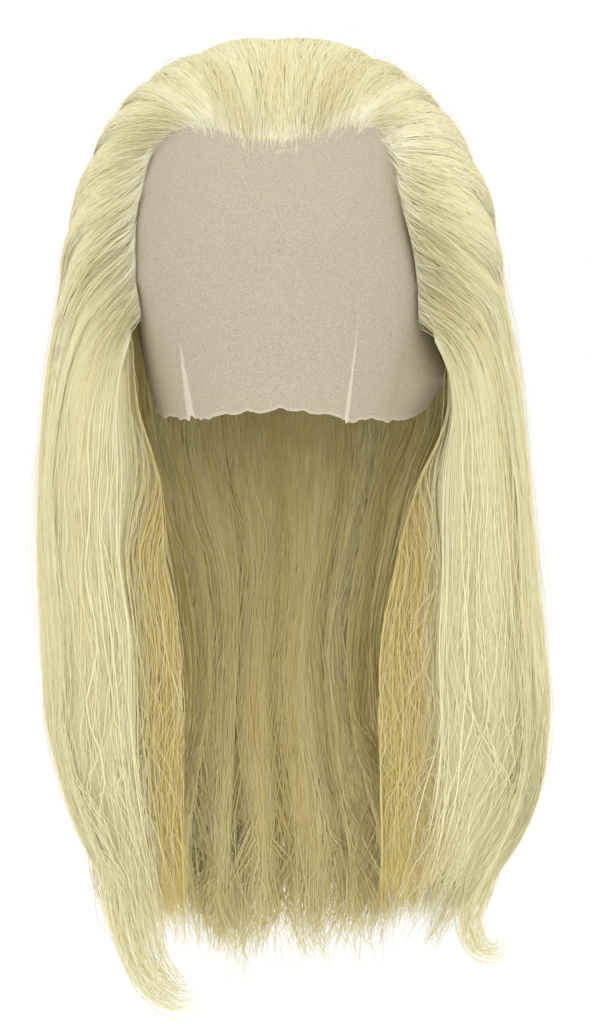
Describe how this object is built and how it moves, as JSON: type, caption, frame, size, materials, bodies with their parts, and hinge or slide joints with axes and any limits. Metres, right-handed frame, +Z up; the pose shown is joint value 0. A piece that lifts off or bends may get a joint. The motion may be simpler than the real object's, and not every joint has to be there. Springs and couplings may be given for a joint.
{
  "type": "lace front wig",
  "caption": "Long wavy lace front wig: sheer lace forehead panel with ear tabs, stretch cap, and hair combed back and hanging in locks round an open face and neck.",
  "frame": {"origin": "the inside of the cap at the crown, where the wig sits on a head", "axes": "+Z up, the face opening towards -Y, +X to the right of someone who looks at the face side"},
  "size_m": [0.2505, 0.2252, 0.4729],
  "materials": {
    "lace": "sheer beige lace net, soft and matte, slightly glossy along the folds",
    "cap": "plain matte stretch net in light tan",
    "hair": "pale yellow blonde hair, fine strands with a soft satin gloss, darker on the inner side"
  },
  "bodies": {
    "root": {"lace_front": "lace", "wig_cap": "cap", "hair_left": "hair", "hair_right": "hair", "hair_back": "hair"}
  },
  "joints": []
}
